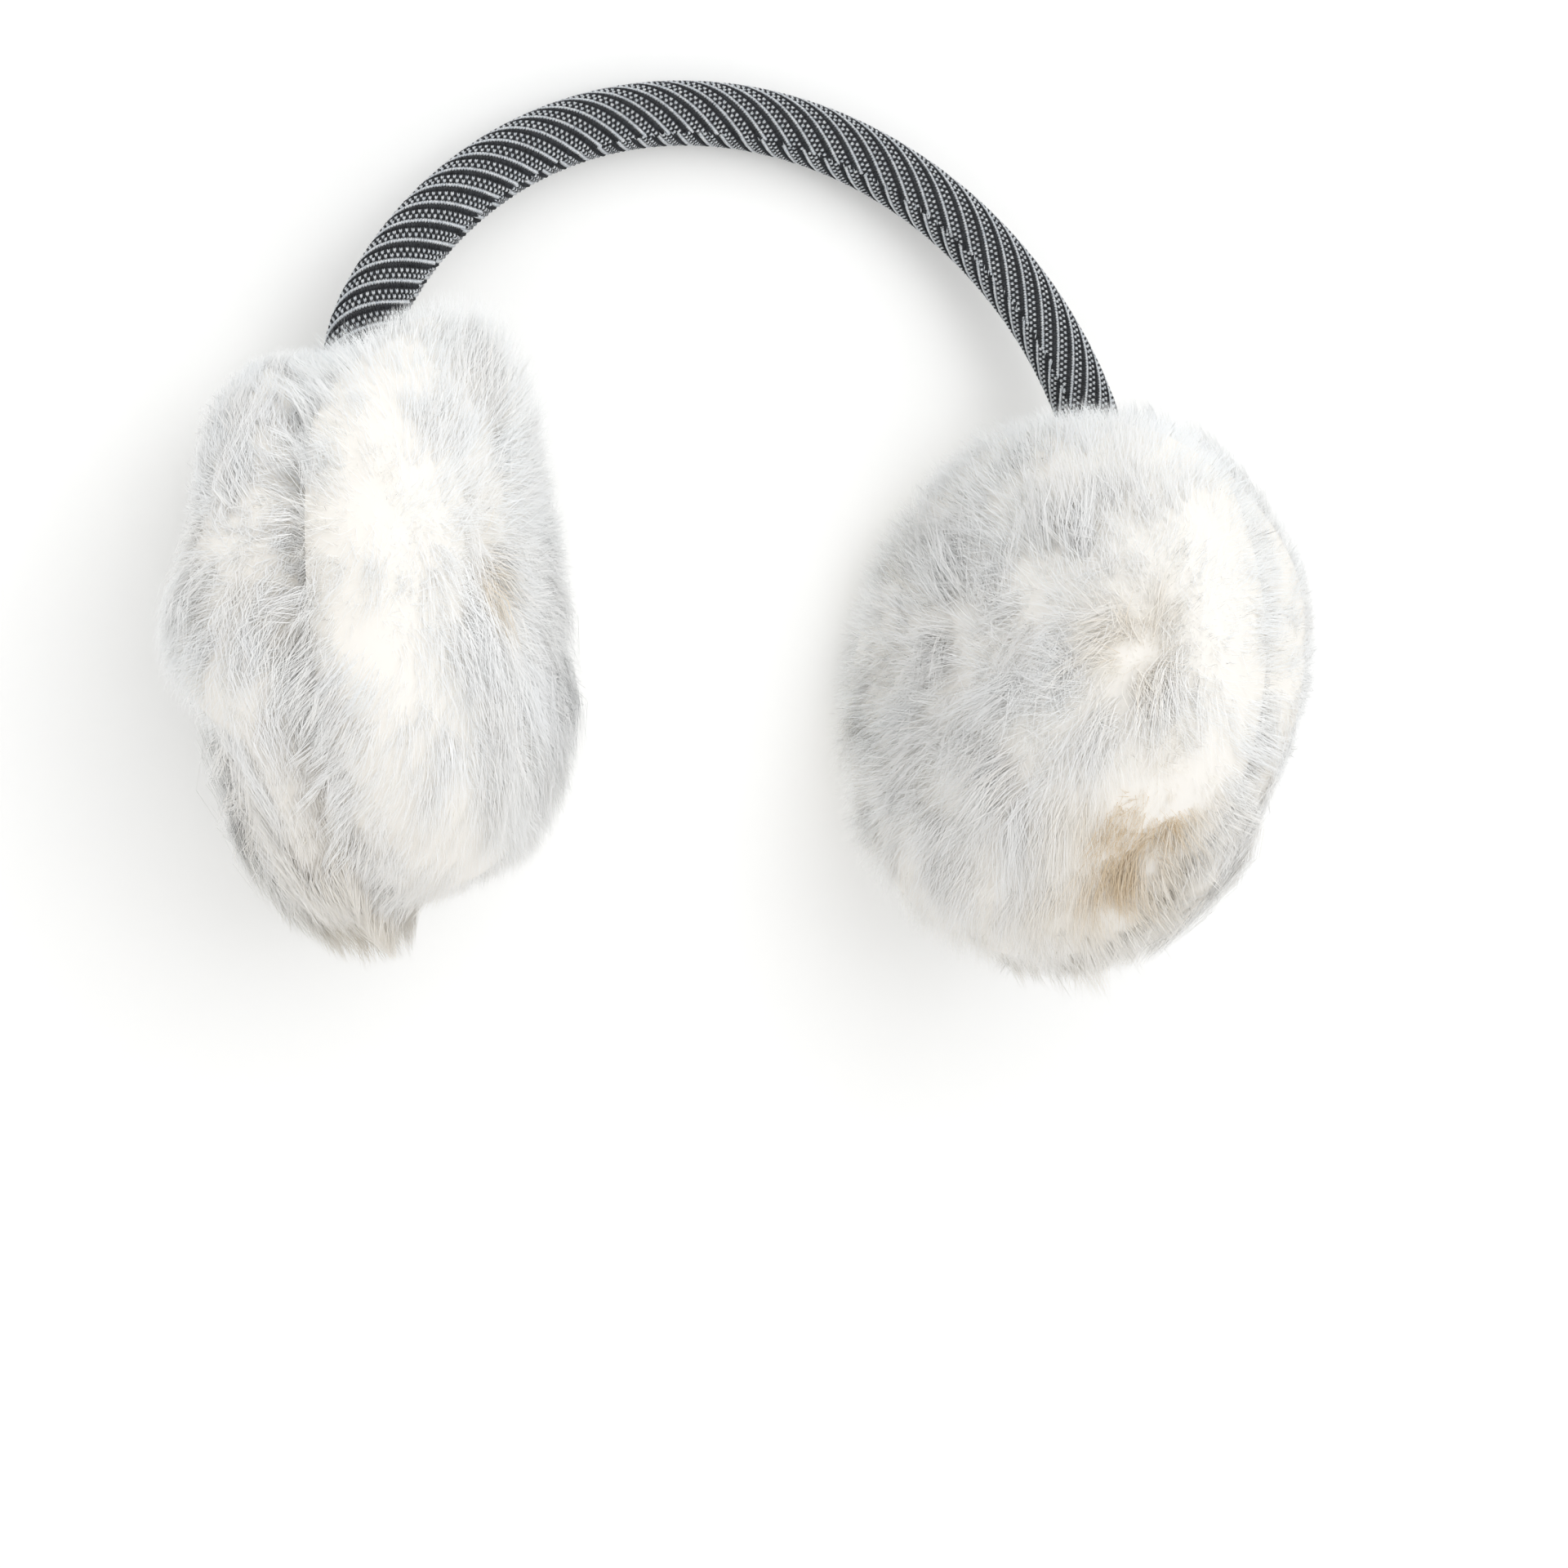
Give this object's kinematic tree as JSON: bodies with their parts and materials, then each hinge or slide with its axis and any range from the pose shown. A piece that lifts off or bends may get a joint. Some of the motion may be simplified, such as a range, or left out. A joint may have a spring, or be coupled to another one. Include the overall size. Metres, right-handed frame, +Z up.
{
  "type": "fur earmuffs",
  "caption": "Pair of round long-fur ear muffs on a padded, knit-covered headband, lying on its back.",
  "frame": {"origin": "centre of the outline, on the surface that the earmuffs lie on", "axes": "+X from the wearer's right muff to the left one, +Y towards the crown of the headband, +Z up from the surface, towards the front of the head"},
  "size_m": [0.34, 0.2466, 0.1482],
  "materials": {
    "knit_cover": "fine knit, grey and white stripes",
    "white_fur": "long soft fur"
  },
  "bodies": {
    "root": {"headband": "knit_cover", "outer_fur_right": "white_fur", "inner_fur_right": "white_fur", "outer_fur_left": "white_fur", "inner_fur_left": "white_fur"}
  },
  "joints": []
}
